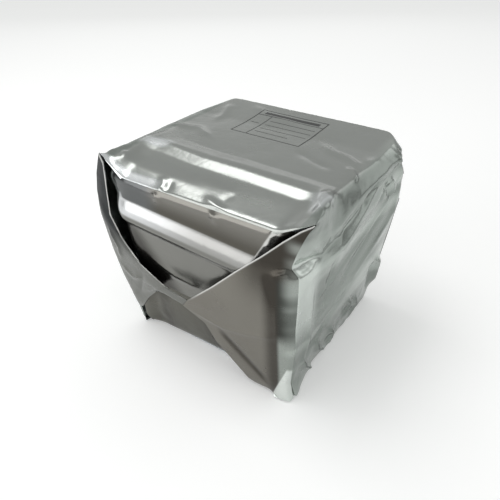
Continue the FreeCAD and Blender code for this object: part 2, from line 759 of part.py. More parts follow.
def front_ear(mouth, peak, foot_z, crease, edge, side):
    """A front ear drawn at +X, from the mouth's corner to where both ears meet."""
    inset = film + ear_edge_gap
    rows = [(z, x, y) for x, y, z in mouth_edge(mouth)]
    fold = [(between(rows, foot_z)[1] - inset, foot_z)]
    fold += [(x - inset, z) for z, x, _ in rows if z > foot_z]
    fold.append((skirt_half[0] + peak[0] - ear_peak_in, cover_top_z + peak[2] - ear_peak_drop))
    high = (side * v_point[0] + meeting_gap, v_point[2])
    foot = (side * v_foot[0] + meeting_gap, v_foot[1])
    outline = fold + list(crease) + [high, foot] + list(edge)
    corners = [(x, y, z) for z, x, y in (rows[0], between(rows, ear_fold_z))]
    meeting = (high[0], -(skirt_half[1] + v_point[1]), high[1])
    return ear_plate(outline, meeting, corners[0], corners[1])


def bag_ear_right():
    return front_ear(mouth_right, peak_right, ear_foot_z[0], right_ear_crease, right_ear_edge, 1)


def bag_ear_left():
    plate = front_ear(mouth_left, peak_left, ear_foot_z[1], left_ear_crease, left_ear_edge, -1)
    return reflected(plate, (1, 0, 0))


def rear_ear_right():
    """A dog ear of the shut end, flat against the back of the bag."""
    foot, side = bag_side[0], bag_side[1]
    slope = (side[3] - foot[3]) / (side[0] - foot[0])
    foot_y = skirt_half[1] + foot[3] + fold_gap
    points = [(x, foot_y + slope * z, z) for x, z in rear_ear]
    return face_of(points).extrude(V(0, ear_layers, 0))


pieces = {
    "base_shell": base_shell(),
    "rim_gasket": rim_gasket(),
    "cover_shell": cover_shell(),
    "cassette": cassette(),
    "wafer_cushion": wafer_cushion(),
    "latch_right": latch(),
    "latch_left": reflected(latch(), (1, 0, 0)),
    "bag_tube": bag_tube(),
    "bag_front_panel": bag_front_panel(),
    "bag_tail_panel": bag_tail_panel(),
    "bag_seal_strip": bag_seal_strip(),
    "bag_ear_right": bag_ear_right(),
    "bag_ear_left": bag_ear_left(),
    "bag_rear_ear_right": rear_ear_right(),
    "bag_rear_ear_left": reflected(rear_ear_right(), (1, 0, 0)),
}

os.makedirs("parts", exist_ok=True)
for name, shape in pieces.items():
    shape.exportStep("parts/" + name + ".step")
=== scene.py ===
"""The looks of a wafer shipping box, closed in a folded metallised barrier bag."""

import math

import bmesh
import bpy
import numpy as np
from mathutils import Matrix, Vector


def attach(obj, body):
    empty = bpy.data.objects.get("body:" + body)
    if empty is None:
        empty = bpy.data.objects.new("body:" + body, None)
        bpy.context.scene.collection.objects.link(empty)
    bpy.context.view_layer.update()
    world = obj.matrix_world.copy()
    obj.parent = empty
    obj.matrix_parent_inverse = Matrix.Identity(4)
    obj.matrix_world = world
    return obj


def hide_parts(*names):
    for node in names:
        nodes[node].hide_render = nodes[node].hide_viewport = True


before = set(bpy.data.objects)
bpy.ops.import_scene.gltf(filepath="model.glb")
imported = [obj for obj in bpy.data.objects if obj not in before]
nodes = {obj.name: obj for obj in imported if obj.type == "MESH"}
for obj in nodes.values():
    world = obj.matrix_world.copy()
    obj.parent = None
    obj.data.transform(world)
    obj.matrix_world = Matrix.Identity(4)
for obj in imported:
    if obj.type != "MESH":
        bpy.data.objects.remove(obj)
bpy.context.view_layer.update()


# Camera. It stands where the photograph was taken from, in front of the box, to its right and a
# little above it. Its place, turn and lens were fitted to the box's own edges.

view_azimuth = math.radians(35.1)
view_elevation = math.radians(33.64)
view_roll = math.radians(-0.336)
camera_place = Vector((0.3304, -0.4879, 0.4935))

back = Vector((math.sin(view_azimuth) * math.cos(view_elevation),
               -math.cos(view_azimuth) * math.cos(view_elevation), math.sin(view_elevation)))
right = Vector((math.cos(view_azimuth), math.sin(view_azimuth), 0))
up = back.cross(right)
camera_x = math.cos(view_roll) * right + math.sin(view_roll) * up
camera_y = math.cos(view_roll) * up - math.sin(view_roll) * right

camera_data = bpy.data.cameras.new("camera")
camera_data.sensor_width = 36.0
camera_data.lens = 38.266
camera_data.clip_end = 60.0
camera = bpy.data.objects.new("camera", camera_data)
camera.matrix_world = (Matrix.Translation(camera_place)
                       @ Matrix((camera_x, camera_y, back)).transposed().to_4x4())
bpy.context.collection.objects.link(camera)
bpy.context.scene.camera = camera
bpy.context.scene.view_settings.view_transform = "Standard"


# Studio. Four soft boxes stand at the front left, the back left, overhead and the back right, and
# draw the highlights along the film's edges. The world is darker towards the horizon, as a room
# is, and the floor is a large pale sheet of paper.

class Wire:
    """A socket or a number of a material's maths, so that the maths reads as plain expressions."""

    def __init__(self, tree, source):
        self.tree = tree
        self.source = source

    def node(self, kind, settings=None, **values):
        """A node with its settings made first, and then the values or links of its sockets."""
        node = self.tree.nodes.new(kind)
        for name, value in (settings or {}).items():
            setattr(node, name, value)
        for name, value in values.items():
            socket = node.inputs[int(name[1:]) if name[1:].isdigit() else name.replace("_", " ")]
            if isinstance(value, Wire):
                value = value.source
            if isinstance(value, bpy.types.NodeSocket):
                self.tree.links.new(value, socket)
            else:
                socket.default_value = value
        return node

    def maths(self, operation, *values):
        """The result of a Math node on the values."""
        inputs = {f"i{n}": value for n, value in enumerate(values)}
        made = self.node("ShaderNodeMath", {"operation": operation}, **inputs)
        return Wire(self.tree, made.outputs[0])

    def __add__(self, other):
        return self.maths("ADD", self, other)

    def __sub__(self, other):
        return self.maths("SUBTRACT", self, other)

    def __rsub__(self, other):
        return self.maths("SUBTRACT", other, self)

    def __mul__(self, other):
        return self.maths("MULTIPLY", self, other)

    __radd__ = __add__
    __rmul__ = __mul__

    def band(self, low, high):
        """0 below low, 1 above high, and a smooth step between."""
        share = self.node("ShaderNodeMapRange", {"interpolation_type": "SMOOTHSTEP"},
                          Value=self, From_Min=low, From_Max=high)
        return Wire(self.tree, share.outputs["Result"])

    def mix(self, first, second):
        """Colour first at 0 and second at 1."""
        mixed = self.node("ShaderNodeMix", {"data_type": "RGBA"}, i0=self, i6=first, i7=second)
        return Wire(self.tree, mixed.outputs[2])


def new_material(name):
    """A new material: its tree's maths, its shader, and the object's own coordinates."""
    material = bpy.data.materials.new(name)
    material.use_nodes = True
    tree = material.node_tree
    shader = tree.nodes["Principled BSDF"]
    maths = Wire(tree, None)
    place = maths.node("ShaderNodeTexCoord").outputs["Object"]
    return material, maths, shader, place


def feed(maths, shader, **values):
    """Gives the shader's sockets their values or links."""
    for name, value in values.items():
        socket = shader.inputs[name.replace("_", " ")]
        if isinstance(value, Wire):
            maths.tree.links.new(value.source, socket)
        else:
            socket.default_value = value


def soft_box(name, place, target, size, power):
    """A rectangular area lamp, turned towards its target."""
    data = bpy.data.lights.new(name, "AREA")
    data.shape = "RECTANGLE"
    data.size, data.size_y = size
    data.energy = power
    lamp = bpy.data.objects.new(name, data)
    lamp.location = place
    lamp.rotation_euler = (Vector(target) - Vector(place)).to_track_quat("-Z", "Y").to_euler()
    bpy.context.collection.objects.link(lamp)


soft_box("front_left_box", (-1.00, -1.75, 0.66), (0, -0.1, 0.16), (1.5, 1.05), 10)
soft_box("back_left_box", (-1.35, 1.65, 0.70), (0, 0, 0.22), (2.2, 0.34), 1.5)
soft_box("overhead_box", (-0.75, -0.15, 1.9), (0, 0, 0.15), (1.1, 0.9), 11)
soft_box("back_right_box", (1.45, 1.75, 1.05), (0.1, 0, 0.15), (1.7, 1.2), 4)

room_low, room_high = (0.30, 0.30, 0.295, 1), (0.60, 0.61, 0.60, 1)
world = bpy.data.worlds.new("studio")
bpy.context.scene.world = world
world.use_nodes = True
sky = Wire(world.node_tree, None)
direction = sky.node("ShaderNodeTexCoord").outputs["Generated"]
height = Wire(world.node_tree, sky.node("ShaderNodeSeparateXYZ", Vector=direction).outputs["Z"])
room = height.band(-0.02, 0.45).mix(room_low, room_high)
world.node_tree.links.new(room.source, world.node_tree.nodes["Background"].inputs["Color"])

floor_half = 12.0
paper_glow = (0.235, 0.235, 0.235, 1)
floor_mesh = bpy.data.meshes.new("floor")
bm = bmesh.new()
bmesh.ops.create_grid(bm, x_segments=1, y_segments=1, size=floor_half)
bm.to_mesh(floor_mesh)
bm.free()
floor = bpy.data.objects.new("floor", floor_mesh)
bpy.context.collection.objects.link(floor)
floor_paper, maths, shader, place = new_material("floor_paper")
rays = maths.node("ShaderNodeLightPath").outputs
seen = Wire(maths.tree, rays["Is Camera Ray"]) + Wire(maths.tree, rays["Is Glossy Ray"])
seen = seen + Wire(maths.tree, rays["Is Transmission Ray"])
feed(maths, shader, Base_Color=(0.90, 0.90, 0.90, 1), Roughness=0.75,
     Emission_Color=seen.mix((0, 0, 0, 1), paper_glow), Emission_Strength=1.0)
floor.data.materials.append(floor_paper)


# Bag tube. One sheet of barrier film wraps the box all round, open at the folded mouth and shut at
# the rear. The film is a laminate with a vapour-deposited metal layer under a clear skin. Vacuum
# draws it tight over the cover's ridges, and it stands off the drafted ends in long folds.

def noise(maths, place, scale, detail, roughness, stretch=None):
    """Cloudy noise of one scale, drawn out where stretch is under 1."""
    if stretch:
        place = maths.node("ShaderNodeMapping", Vector=place, Scale=stretch).outputs[0]
    made = maths.node("ShaderNodeTexNoise", Vector=place, Scale=scale, Detail=detail,
                      Roughness=roughness)
    return Wire(maths.tree, made.outputs["Fac"])


def bump(maths, shader, height, strength, distance):
    """Relief from a height, finer than the mesh."""
    made = maths.node("ShaderNodeBump", Height=height, Strength=strength, Distance=distance)
    maths.tree.links.new(made.outputs[0], shader.inputs["Normal"])


film_metal = 0.92
painted_sheen_green = (0.62, 0.67, 0.63, 1)
fold_highlight_silver = (0.75, 0.75, 0.73, 1)
record_ink = (0.010, 0.010, 0.011, 1)
pull_angle = math.radians(-28)
end_turn = (0.112, 0.130)


def barrier_film(name, colour, deep, haze, tone, ink=None):
    """Metallised laminate in one tone, darker in its rubbed patches, with the painted light and shade
    that tone gives, a painted sheen on the ends and a painted highlight along marked folds.
    """
    material, maths, shader, place = new_material(name)
    x, y, z = (Wire(maths.tree, part)
               for part in maths.node("ShaderNodeSeparateXYZ", Vector=place).outputs)
    patches = noise(maths, place, 14, 3, 0.55).band(0.35, 0.75)
    streaks = noise(maths, place, 60, 2, 0.5, (0.12, 1.0, 1.0))
    grain = noise(maths, place, 260, 2, 0.6, (0.06, 1.0, 1.0))
    wrinkles = noise(maths, place, 42, 4, 0.6)
    cells = maths.node("ShaderNodeTexVoronoi", {"feature": "DISTANCE_TO_EDGE"},
                       Vector=place, Scale=34.0, Randomness=1.0)
    creases = Wire(maths.tree, cells.outputs["Distance"]).band(0.0, 0.10)
    # On the ends the film is pulled on a slant: long pale streaks of painted sheen, a painted
    # reflection, and fine pulls in the relief
    leaning = maths.node("ShaderNodeMapping", Vector=place, Rotation=(pull_angle, 0, 0),
                         Scale=(0.3, 0.12, 1.0)).outputs[0]
    painted_sheen = noise(maths, leaning, 24, 2, 0.5).band(0.42, 0.60) * x.band(*end_turn) * 0.42
    pulls = noise(maths, leaning, 75, 3, 0.5) * x.maths("ABSOLUTE", x).band(*end_turn)

    other, share = tone(x, y, z)
    paint = share.mix((patches * 0.6).mix(colour, deep), other)
    paint = painted_sheen.mix(paint, painted_sheen_green)
    # A painted highlight, pale silver, along each ear's fold line as the mesh marks it
    edge = maths.node("ShaderNodeAttribute", {"attribute_name": "painted_fold_highlight"}).outputs["Fac"]
    edge = Wire(maths.tree, edge) * z.band(0.098, 0.125) * 0.8
    paint = edge.mix(paint, fold_highlight_silver)
    metal, gloss = film_metal, haze + streaks * 0.08 + patches * 0.05
    if ink:
        mark = ink(x, y, z)
        paint = mark.mix(paint, record_ink)
        metal, gloss = film_metal - mark * film_metal, gloss + mark * 0.25
    feed(maths, shader, Base_Color=paint, Metallic=metal, Roughness=gloss, IOR=1.5)
    relief = wrinkles * 0.45 + creases * 0.06 + grain * 0.02 + pulls * 0.55
    bump(maths, shader, relief, 0.15, 0.004)
    return material


box_top = 0.245
# Painted colours: a reflection tint for the ends and pale highlights
end_reflection_green, highlight_green = (0.255, 0.280, 0.260, 1), (0.58, 0.62, 0.59, 1)
highlight_silver = (0.75, 0.77, 0.78, 1)


def tube_tone(x, y, z):
    """Greener and darker on the ends, a painted reflection tint, and painted highlights beside the
    right ear, along the mouth's left edge and by both ends of the ridge.
    """
    # Painted reflection tint: the ends greener and darker
    ends = (x.maths("ABSOLUTE", x) + (box_top - z) * 0.12).band(0.126, 0.131)
    # Painted highlight on the right end, beside the right ear
    beside = (1 - (y + z * 0.10).band(-0.082, -0.062)) * z.band(0.075, 0.130)
    beside = beside * (1 - z.band(0.195, 0.225)) * x.band(0.110, 0.120)
    # Painted highlights along the mouth's left edge and by both ends of the ridge
    edge = (1 - (y - x * 0.03).band(-0.112, -0.104)) * (1 - x.band(-0.070, -0.030))
    across = y - x * 0.1
    left = (1 - x.band(-0.100, -0.078)) * x.band(-0.138, -0.124)
    left = left * across.band(-0.056, -0.046) * (1 - across.band(-0.040, -0.028))
    right = x.band(0.098, 0.122) * (1 - x.band(0.128, 0.136))
    right = right * y.band(-0.104, -0.088) * (1 - y.band(-0.066, -0.056))
    painted_highlights = edge * z.band(0.219, 0.225) + (left * 0.9 + right * 0.75) * z.band(0.2400, 0.2440)
    colour = painted_highlights.mix(beside.mix(end_reflection_green, highlight_green), highlight_silver)
    share = ends + painted_highlights
    return colour, share.maths("MINIMUM", share, 1.0)


# The record panel's outline, and each of its rules as y, left end, right end and half width
record_left, record_right = -0.064, 0.037
record_low, record_high = 0.031, 0.110
record_border = 0.0018
thin_rule = 0.0007
record_rules = ((0.1005, -0.055, 0.028, 0.0035), (0.0940, -0.062, 0.035, 0.0008),
                (0.0815, -0.036, 0.031, thin_rule), (0.0695, -0.036, 0.031, thin_rule),
                (0.0575, -0.036, 0.031, thin_rule), (0.0455, -0.036, 0.012, thin_rule),
                (0.0695, -0.058, -0.046, thin_rule))
upright_left, upright_right = -0.0415, -0.0400
upright_low, upright_high = 0.033, 0.0945


def within(value, low, high):
    """1 where the value lies between low and high, and 0 elsewhere."""
    return value.maths("COMPARE", value, (low + high) / 2, (high - low) / 2)


def record_panel(x, y, z):
    """A blank ruled panel, printed on the top: an outline, rules and one upright, no letters."""
    outline = (within(x, record_left, record_right) * within(y, record_low, record_high)
               - within(x, record_left + record_border, record_right - record_border)
               * within(y, record_low + record_border, record_high - record_border))
    marks = outline + within(x, upright_left, upright_right) * within(y, upright_low, upright_high)
    for rule_y, left, right, half in record_rules:
        marks = marks + within(x, left, right) * within(y, rule_y - half, rule_y + half)
    return marks.maths("MINIMUM", marks, 1.0) * z.band(0.2350, 0.2352) * 0.93


outer_film = barrier_film("outer_film", (0.345, 0.358, 0.342, 1), (0.310, 0.322, 0.306, 1), 0.19,
                          tube_tone, record_panel)


def lattice_noise(a, b, seed):
    """Random heights on a triangle lattice, straight between them: flats that meet in folds."""
    a = a + 0.35 * np.sin(b * 1.3 + seed) + 0.2 * np.sin(b * 3.1 + 2 * seed)
    b = b + 0.35 * np.sin(a * 1.1 + 3 * seed) + 0.2 * np.sin(a * 2.7 + seed)
    skew = (a + b) * 0.366
    i, j = np.floor(a + skew), np.floor(b + skew)
    x, y = a + skew - i, b + skew - j

    def height(i, j):
        value = np.sin(i * 127.1 + j * 311.7 + seed * 74.7) * 43758.5453
        return value - np.floor(value) - 0.5

    corner, far = height(i, j), height(i + 1, j + 1)
    low, high = height(i + 1, j), height(i, j + 1)
    return np.where(x > y, corner + (low - corner) * x + (far - low) * y,
                    corner + (high - corner) * y + (far - high) * x)


def smooth_step(values, low, high):
    """0 below low, 1 above high, and a smooth step between."""
    share = np.clip((values - low) / (high - low), 0, 1)
    return share * share * (3 - 2 * share)


def run_along(corners):
    """The share of a line's length at each of its corners."""
    lengths = np.linalg.norm(np.diff(corners, axis=0), axis=1)
    return np.concatenate([[0], np.cumsum(lengths)]) / lengths.sum()


def nearest_on(points, corners):
    """How far each point is from a line of corners, and at which share of the line's length."""
    corners = np.array(corners)
    run = run_along(corners)
    nearest = np.full(len(points), np.inf)
    along = np.zeros(len(points))
    for a, b, start, end in zip(corners, corners[1:], run, run[1:]):
        step = b - a
        share = np.clip((points - a) @ step / (step @ step), 0, 1)
        away = np.linalg.norm(points - a - share[:, None] * step, axis=1)
        along = np.where(away < nearest, start + (end - start) * share, along)
        nearest = np.minimum(nearest, away)
    return nearest, along


def folds(points, lines):
    """Height of drawn folds at 2D points: each line is (its corners, height, half width)."""
    total = np.zeros(len(points))
    for corners, height, width in lines:
        away, along = nearest_on(points, corners)
        taper = np.clip(4 * np.minimum(along + 0.06, 1.06 - along), 0, 1)
        total += height * taper * np.exp(-(away / width) ** 1.4)
    return total


def relax(bm, verts, factor):
    """Draws each point towards the middle of its neighbours."""
    bmesh.ops.smooth_vert(bm, verts=verts, factor=factor, use_axis_x=True, use_axis_y=True,
                          use_axis_z=True)


sharp_angle = 1.0
fold_highlight_width = (0.0005, 0.0021)


def make_sheet(name, across, along, place, material, passes=0, crease=None, wall=0.0, rim=None):
    """A sheet of film from a grid: placed, smoothed, creased along its normals, given a wall."""
    bm = bmesh.new()
    bmesh.ops.create_grid(bm, x_segments=across, y_segments=along, size=1)
    shares = (np.array([v.co[:2] for v in bm.verts]) + 1) / 2
    for vert, point in zip(bm.verts, place(*shares.T)):
        vert.co = point
    bmesh.ops.remove_doubles(bm, verts=bm.verts, dist=1e-5)
    bmesh.ops.dissolve_degenerate(bm, edges=bm.edges, dist=1e-6)
    inner = [v for v in bm.verts if not v.is_boundary]
    for _ in range(passes):
        relax(bm, inner, 0.5)
    bmesh.ops.recalc_face_normals(bm, faces=bm.faces)
    bm.normal_update()
    if crease:
        points = np.array([v.co for v in bm.verts])
        normals = np.array([v.normal for v in bm.verts])
        for vert, lift in zip(bm.verts, crease(points, normals)):
            vert.co += vert.normal * lift
        relax(bm, inner, 0.35)
    if wall:
        bmesh.ops.solidify(bm, geom=bm.faces[:], thickness=wall)
        bm.normal_update()
        rims = [e for e in bm.edges
                if len(e.link_faces) == 2 and e.calc_face_angle() > sharp_angle]
        bmesh.ops.bevel(bm, geom=rims, offset=wall * 0.42, offset_type="OFFSET", segments=3,
                        profile=0.5, affect="EDGES", material=-1, clamp_overlap=True)
    mesh = bpy.data.meshes.new(name)
    bm.to_mesh(mesh)
    bm.free()
    for polygon in mesh.polygons:
        polygon.use_smooth = True
    # Marks the fold line, along which barrier_film paints a highlight
    if rim:
        away, _ = nearest_on(np.array([v.co for v in mesh.vertices]), rim)
        line = mesh.attributes.new("painted_fold_highlight", "FLOAT", "POINT")
        line.data.foreach_set("value", 1 - smooth_step(away, *fold_highlight_width))
    mesh.materials.append(material)
    piece = bpy.data.objects.new(name, mesh)
    bpy.context.collection.objects.link(piece)
    return piece


# The mouth's side edges as (x, y) at these heights, from the floor up. The film follows them at
# the mouth, and the box behind it.
mouth_levels = (0.0, 0.026, 0.072, 0.112, 0.168, 0.197, 0.222)
mouth_right = ((0.131, -0.110), (0.1245, -0.1122), (0.129, -0.1148), (0.1295, -0.1172),
               (0.1315, -0.121), (0.1265, -0.1225), (0.133, -0.122))
mouth_left = ((-0.118, -0.108), (-0.123, -0.1095), (-0.142, -0.1112), (-0.153, -0.1135),
              (-0.157, -0.1188), (-0.155, -0.120), (-0.150, -0.1195))

# By side: the mouth's edge, its raised corner, half the top's length, and how far that draws in
tube_sides = {1: (mouth_right, (0.147, -0.1215, 0.2508), 0.128, 0.002),
              -1: (mouth_left, (-0.141, -0.119, 0.2500), 0.144, 0.016)}

# Height, half length beside the ridge, half length at the rear, and the rear's y
end_half = ((0.0, 0.117, 0.115, 0.115), (0.168, 0.1395, 0.1395, 0.123),
            (box_top, 0.1383, 0.1383, 0.123))
beside_ridge, at_rear, rear_wall = 1, 2, 3

# Slanting folds along each end: their heights at four stations of y and at the rear, and how
# far each fold stands out
fold_rows = ((-0.085, (0, 0.022, 0.088, 0.128, 0.178, 0.190, 0.206)),
             (-0.051, (0, 0.020, 0.108, 0.140, 0.184, 0.198, 0.216)),
             (0.006, (0, 0.022, 0.124, 0.154, 0.199, 0.213, 0.228)),
             (0.064, (0, 0.026, 0.133, 0.165, 0.207, 0.221, 0.233)))
fold_rear = (0, 0.030, 0.150, 0.178, 0.216, 0.228, 0.236)
fold_out = (0, 0.0015, 0.0028, -0.0026, 0.0028, -0.0022, 0.0016)

mouth_y = -0.1215
ridge_y = -0.051
rear_y = 0.1214
floor_front, floor_rear = -0.0594, 0.115
tail_half = 0.104
flat_half = 0.104
film_gap = 0.0006
top_z = 0.2456
shoulder_z = 0.2306
lip_turn, lip_out = 0.005, 0.0008
lip_front = (-0.1214, 0.2250)
mouth_front = (-0.1196, 0.2300)
rear_top = (0.127, 0.250)


def end_at(z, column):
    """Half length beside the ridge, half length at the rear, or the rear's y at a height."""
    heights = [row[0] for row in end_half]
    return float(np.interp(z, heights, [row[column] for row in end_half]))


def tube_outlines(side):
    """Key points of one side, from the middle of its floor to the middle of its top, by station."""
    mouth_edge, peak, top_half, drawn_in = tube_sides[side]
    edge = [(x, y, z) for (x, y), z in zip(mouth_edge, mouth_levels)]

    def outline(floor_y, column, shoulder, flat):
        return ([(0, floor_y, 0), (side * (tail_half + film_gap), floor_y, 0)] + column
                + [shoulder, (side * flat_half, *flat), (0, *flat)])

    turned = [(x - side * lip_turn, y - lip_out, z) for x, y, z in edge]
    found = [outline(floor_front, turned, peak, lip_front),
             outline(floor_front, edge, peak, mouth_front)]
    for y, heights in fold_rows:
        share = min(1.0, (y - mouth_y) / (ridge_y - mouth_y))
        along = max(0.0, (y - ridge_y) / (rear_y - ridge_y))
        column = []
        for (edge_x, _, _), z, out in zip(edge, heights, fold_out):
            x = end_at(z, beside_ridge) * (1 - along) + end_at(z, at_rear) * along + out
            column.append((edge_x + (side * x - edge_x) * share, y, z))
        shoulder = (peak[0] + (side * top_half - peak[0]) * share, y,
                    peak[2] + (top_z - peak[2]) * share)
        flat = (y, shoulder_z + (top_z - shoulder_z) * share)
        found.append(outline(max(y, floor_front + 0.001), column, shoulder, flat))
    rear = [(side * end_at(z, at_rear), end_at(z, rear_wall), z) for z in fold_rear]
    found.append(outline(floor_rear, rear, (side * (top_half - drawn_in), *rear_top), rear_top))
    found.append([(0, y, z) for _, y, z in found[-1]])
    return found


steps_along = (5, 15, 15, 26, 26, 26, 34)
steps_round = (8, 3, 12, 30, 18, 22, 12, 12, 10, 11, 42)
right_side, left_side = np.array(tube_outlines(1)), np.array(tube_outlines(-1))
rings = np.concatenate([right_side, left_side[:, -2::-1]], axis=1)
round_counts = np.array(steps_round + steps_round[::-1])
along_counts = np.array(steps_along)

# The sharp notch in the mouth's right edge, as height and x, and how far back it fades out
notch = ((0.170, 0.0), (0.184, 0.0043), (0.188, 0.0010), (0.192, -0.0046), (0.198, -0.0022),
         (0.212, -0.0014), (0.226, 0.0))
notch_reach = (-0.1165, -0.072)
roll_depth, roll_width, roll_start = 0.0026, 0.0106, -0.1090
rear_round = 0.11


def between_keys(share, counts):
    """The key interval that a share of the way falls in, and how far along it."""
    ends = np.concatenate([[0], np.cumsum(counts)])
    at = share * ends[-1]
    index = np.clip(np.searchsorted(ends, at + 1e-6, side="right") - 1, 0, len(counts) - 1)
    return index, (at - ends[index]) / counts[index]


def tube_place(round_share, along_share):
    """The tube between its outlines, with the notch, the rolled front edge and the round rear."""
    i, s = between_keys(round_share, round_counts)
    j, t = between_keys(along_share, along_counts)
    s, t = s[:, None], t[:, None]
    near = rings[j, i] * (1 - s) + rings[j, i + 1] * s
    far = rings[j + 1, i] * (1 - s) + rings[j + 1, i + 1] * s
    points = near * (1 - t) + far * t
    x, y, z = points.T
    in_front = (1 - smooth_step(y, *notch_reach)) * (x > 0.10)
    points[:, 0] += np.interp(z, *np.array(notch).T) * in_front
    rolled = smooth_step(x, -0.142, -0.122) * (1 - smooth_step(x, -0.062, -0.020)) * (z > 0.218)
    points[:, 2] -= roll_depth * np.clip((roll_start - y) / roll_width, 0, 1) * rolled
    at_top = smooth_step(z, 0.185, 0.240) * np.clip((y - 0.096) / 0.031, 0, 1) ** 2
    points[:, 0] *= 1 - rear_round * at_top * (x > 0)
    return points


# Folds of the film on the end at +X, drawn as (y, z), over the top as (x, y), and on the back as
# (x, z), each with its height and half width
end_folds = (
    (((0.112, 0.236), (0.062, 0.226), (0.008, 0.205), (-0.043, 0.186), (-0.083, 0.168)), 0.0022, 0.0045),
    (((0.116, 0.216), (0.074, 0.190), (0.025, 0.168), (-0.023, 0.150), (-0.086, 0.128)), 0.0034, 0.0045),
    (((0.114, 0.198), (0.063, 0.166), (0.022, 0.148), (-0.030, 0.126)), -0.0024, 0.0050),
    (((0.118, 0.170), (0.089, 0.148), (0.038, 0.128), (-0.010, 0.108), (-0.060, 0.088)), 0.0034, 0.0050),
    (((0.091, 0.120), (0.046, 0.108), (-0.001, 0.094), (-0.050, 0.070), (-0.098, 0.040)), -0.003, 0.006),
    (((0.060, 0.232), (0.020, 0.226), (-0.020, 0.214), (-0.052, 0.202)), 0.0018, 0.0035),
    (((-0.020, 0.222), (-0.044, 0.196), (-0.058, 0.160), (-0.066, 0.110)), -0.0014, 0.0050),
    (((-0.105, 0.214), (-0.090, 0.202), (-0.076, 0.188)), 0.0020, 0.0040),
    (((0.088, 0.238), (0.100, 0.222), (0.108, 0.204)), 0.0034, 0.0030),
    (((0.104, 0.242), (0.112, 0.226), (0.116, 0.210)), -0.0026, 0.0030),
    (((0.000, 0.210), (0.020, 0.220), (0.042, 0.226)), -0.0034, 0.0038),
    (((0.044, 0.196), (0.060, 0.208), (0.076, 0.212)), -0.0034, 0.0038),
    (((0.100, 0.150), (0.110, 0.190), (0.116, 0.226)), 0.0030, 0.0050),
    (((-0.104, 0.178), (-0.094, 0.130), (-0.090, 0.080), (-0.096, 0.040)), 0.0030, 0.0060),
    (((0.062, 0.214), (0.070, 0.196), (0.082, 0.190)), -0.0026, 0.0035),
    (((0.074, 0.216), (0.082, 0.202), (0.082, 0.190)), 0.0030, 0.0030),
    (((0.015, 0.066), (0.030, 0.050), (0.020, 0.030)), 0.0045, 0.0035),
    (((-0.030, 0.050), (-0.012, 0.030), (-0.018, 0.006)), 0.0055, 0.0035),
    (((-0.062, 0.056), (-0.050, 0.030), (-0.020, 0.004)), 0.0050, 0.0035),
    (((-0.095, 0.052), (-0.084, 0.030), (-0.060, 0.004)), 0.0055, 0.0035),
    (((0.046, 0.050), (0.060, 0.026), (0.054, 0.006)), 0.0040, 0.0035),
    (((0.078, 0.096), (0.100, 0.080), (0.104, 0.056), (0.110, 0.030)), 0.0080, 0.0060),
    (((0.082, 0.092), (0.088, 0.060), (0.096, 0.030)), -0.0035, 0.0040),
)
top_folds = (
    (((0.060, 0.052), (0.078, 0.038), (0.098, 0.034), (0.114, 0.024), (0.124, 0.008)), 0.0026, 0.0040),
    (((0.112, 0.010), (0.126, -0.002), (0.134, -0.010)), 0.0030, 0.0030),
    (((0.040, 0.020), (0.075, 0.004), (0.100, -0.004)), -0.0010, 0.0060),
    (((-0.118, 0.104), (-0.104, 0.072), (-0.100, 0.048)), 0.0018, 0.0060),
    (((-0.086, 0.116), (-0.050, 0.098), (0.000, 0.090)), 0.0010, 0.0080),
    (((-0.139, 0.004), (-0.100, 0.012), (-0.070, -0.004)), 0.0020, 0.0050),
    (((-0.134, -0.040), (-0.124, -0.070), (-0.122, -0.098)), 0.0024, 0.0050),
    (((-0.020, -0.086), (0.004, -0.094), (0.036, -0.094)), 0.0007, 0.0080),
    (((0.036, -0.094), (0.030, -0.108), (0.036, -0.118)), -0.0010, 0.0045),
    (((-0.056, -0.106), (-0.048, -0.112), (-0.050, -0.121)), 0.0020, 0.0034),
    (((-0.042, -0.108), (-0.038, -0.119)), -0.0016, 0.0032),
    (((0.010, -0.112), (0.026, -0.117), (0.040, -0.121)), 0.0020, 0.0036),
    (((0.120, -0.058), (0.128, -0.080), (0.134, -0.100)), 0.0030, 0.0035),
)
back_folds = (
    (((-0.126, 0.124), (-0.060, 0.127), (0.000, 0.125), (0.060, 0.128), (0.126, 0.126)), 0.0026, 0.0035),
    (((-0.126, 0.110), (-0.060, 0.112), (0.060, 0.113), (0.126, 0.111)), -0.0016, 0.0050),
    (((-0.060, 0.127), (-0.096, 0.186), (-0.120, 0.232)), 0.0022, 0.0045),
    (((0.060, 0.128), (0.090, 0.180), (0.120, 0.232)), 0.0022, 0.0045),
    (((-0.030, 0.125), (-0.042, 0.168), (-0.020, 0.214)), 0.0014, 0.0060),
    (((0.018, 0.126), (0.034, 0.172), (0.024, 0.220)), -0.0014, 0.0060),
    (((-0.080, 0.022), (-0.030, 0.040), (0.030, 0.034), (0.078, 0.018)), 0.0018, 0.0060),
)
ridge_line = ((-0.135, -0.088, -0.030, 0.030, 0.134), (-0.054, -0.061, -0.0655, -0.066, -0.070))
bead_profile = ((-0.0065, 0.0060, 0.0100, 0.0320), (0, 0.0036, 0.0036, 0))
swell_height = 0.0024


def drawn_folds(x, y, z, on_top, on_end, on_back):
    """The drawn folds of each face. The left end has the right end's, lower and a little moved."""
    right_end = folds(np.stack([y, z], 1), end_folds)
    left_end = 0.75 * folds(np.stack([y * 0.92 + 0.006, z * 0.96 + 0.01], 1), end_folds)
    return (np.where(x > 0, right_end, left_end) * on_end
            + folds(np.stack([x, y], 1), top_folds) * on_top
            + folds(np.stack([x, z], 1), back_folds) * on_back)


def ridge_relief(x, y):
    """The bead of film over the cover's ridge, and the low swell between it and the mouth."""
    behind = y - np.interp(x, *ridge_line)
    wide = 1 + 0.9 * smooth_step(-x, 0.085, 0.128)
    bead = np.interp(behind / wide, *bead_profile)
    swell = smooth_step(y, -0.119, -0.101) * (1 - smooth_step(y, -0.101, -0.080))
    swell *= swell_height * (1 - smooth_step(x, -0.055, 0.070))
    return (bead + swell) * (1 - smooth_step(np.abs(x), 0.122, 0.134))


